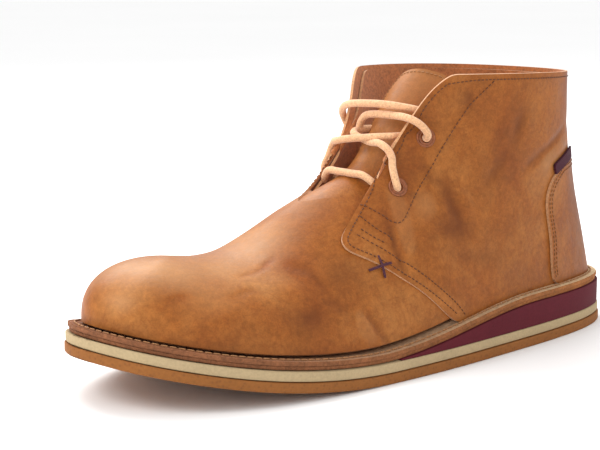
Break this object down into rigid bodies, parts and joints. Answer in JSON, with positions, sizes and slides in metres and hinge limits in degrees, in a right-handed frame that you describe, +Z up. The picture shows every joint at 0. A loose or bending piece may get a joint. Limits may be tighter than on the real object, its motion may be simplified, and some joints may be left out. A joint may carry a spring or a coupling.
{
  "type": "chukka boot",
  "caption": "Left ankle-high chukka boot in tan leather, with a laced throat, a heel counter and a flat layered wedge sole.",
  "frame": {"origin": "middle of the sole's length and width, on the floor", "axes": "+X towards the toe, +Y towards the outer side, +Z up"},
  "size_m": [0.3, 0.1099, 0.1287],
  "materials": {
    "leather": "waxed, satin",
    "welt": "cut edge",
    "insole": "matt",
    "lace": "matt",
    "eyelet": "painted",
    "tab": "woven",
    "wedge": "matt",
    "midsole": "matt",
    "outsole": "matt"
  },
  "bodies": {
    "root": {"outsole": "outsole", "midsole": "midsole", "wedge": "wedge", "welt": "welt", "insole": "insole", "upper": "leather", "counter": "leather", "tongue": "leather", "side_tab": "tab", "eyelet_outer_low": "eyelet", "eyelet_inner_low": "eyelet", "eyelet_outer_high": "eyelet", "eyelet_inner_high": "eyelet", "lace_bar": "lace", "lace_crossing": "lace", "lace_end_outer": "lace", "lace_end_inner": "lace"}
  },
  "joints": []
}
